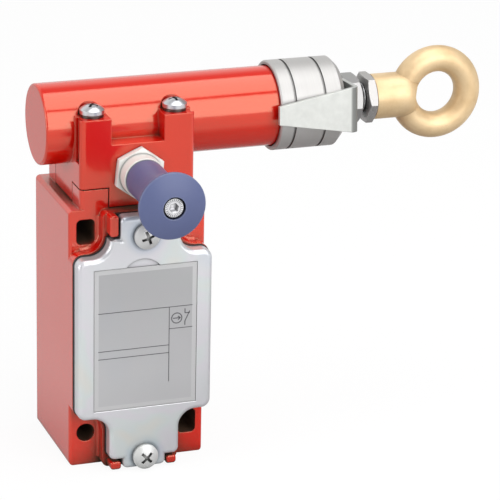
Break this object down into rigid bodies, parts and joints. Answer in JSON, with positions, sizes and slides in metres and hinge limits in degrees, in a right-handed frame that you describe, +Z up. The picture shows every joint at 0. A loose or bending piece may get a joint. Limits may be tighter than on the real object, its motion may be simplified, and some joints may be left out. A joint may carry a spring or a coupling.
{
  "type": "rope pull switch",
  "caption": "Latching safety rope pull switch: red housing and head, rope eye on a sprung rod with tension indicator, blue pull reset knob.",
  "frame": {"origin": "centre of the four fixing holes, on the flat rear face that lies on the wall", "axes": "+X along the head tube from the switch axis to the rope eye, +Y back into the wall, +Z up from the cable entry to the head"},
  "size_m": [0.1335, 0.0669, 0.1104],
  "materials": {
    "housing_paint": "gloss red coat",
    "head_paint": "gloss red coat",
    "cover_zinc": "zinc plated",
    "gasket_rubber": "matte",
    "screw_steel": "zinc plated",
    "label_foil": "satin foil",
    "seal_rubber": "matte",
    "head_screw_steel": "dark zinc",
    "washer_steel": "dark zinc",
    "sleeve_metal": "satin",
    "bush_bronze": "sintered",
    "wiper_rubber": "matte",
    "rod_steel": "zinc plated",
    "cam_steel": "hardened",
    "pin_steel": "ground",
    "seat_brass": "turned",
    "spring_steel": "oiled",
    "stirrup_steel": "brushed stainless",
    "nut_steel": "zinc plated",
    "jam_nut_steel": "zinc plated",
    "eye_brass": "sand cast, matte",
    "plunger_plastic": "acetal",
    "guide_bronze": "sintered",
    "bushing_metal": "satin",
    "latch_steel": "ground",
    "latch_spring_steel": "oiled",
    "knob_plastic": "fine grain",
    "knob_screw_steel": "zinc plated",
    "block_plastic": "moulded",
    "carrier_plastic": "moulded",
    "contact_silver": "silver plated",
    "terminal_brass": "plated",
    "terminal_screw_steel": "zinc plated",
    "contact_spring_steel": "oiled",
    "block_screw_steel": "zinc plated",
    "earth_brass": "yellow chromate"
  },
  "bodies": {
    "switch_body": {"housing": "housing_paint", "cover": "cover_zinc", "cover_gasket": "gasket_rubber", "cover_screws": "screw_steel", "label_plate": "label_foil", "head_casting": "head_paint", "head_seal": "seal_rubber", "head_screws": "head_screw_steel", "spring_washers": "washer_steel", "indicator_sleeve": "sleeve_metal", "rod_bush": "bush_bronze", "rod_wiper": "wiper_rubber", "main_spring": "spring_steel", "plunger_guide": "guide_bronze", "reset_bushing": "bushing_metal", "latch_spring": "latch_spring_steel", "contact_block": "block_plastic", "fixed_contacts": "terminal_brass", "terminal_screws": "terminal_screw_steel", "contact_spring": "contact_spring_steel", "block_screws": "block_screw_steel", "earth_screw": "earth_brass"},
    "rope_rod_assembly": {"rope_rod": "rod_steel", "cam": "cam_steel", "cam_pin": "pin_steel", "spring_seat": "seat_brass", "stirrup_pointer": "stirrup_steel", "rod_nut": "nut_steel", "jam_nut": "jam_nut_steel", "eye_nut": "eye_brass"},
    "plunger_assembly": {"plunger": "plunger_plastic", "contact_carrier": "carrier_plastic", "contact_bridges": "contact_silver"},
    "reset_assembly": {"latch_pin": "latch_steel", "reset_knob": "knob_plastic", "knob_screw": "knob_screw_steel"}
  },
  "joints": [
    {"name": "rope_pull", "type": "slide", "parent": "switch_body", "child": "rope_rod_assembly", "axis": [1, 0, 0], "range_m": [0, 0.016], "stiffness_N_per_m": 9000, "deforming": ["main_spring"]},
    {"name": "plunger_press", "type": "slide", "parent": "switch_body", "child": "plunger_assembly", "axis": [0, 0, -1], "range_m": [0, 0.0024], "deforming": ["contact_spring"]},
    {"name": "reset_pull", "type": "slide", "parent": "switch_body", "child": "reset_assembly", "axis": [0, -1, 0], "range_m": [0, 0.005], "stiffness_N_per_m": 800, "deforming": ["latch_spring"]}
  ],
  "couplings": [
    {"joint": "plunger_press", "follows": "rope_pull", "ratio": 0.15}
  ]
}
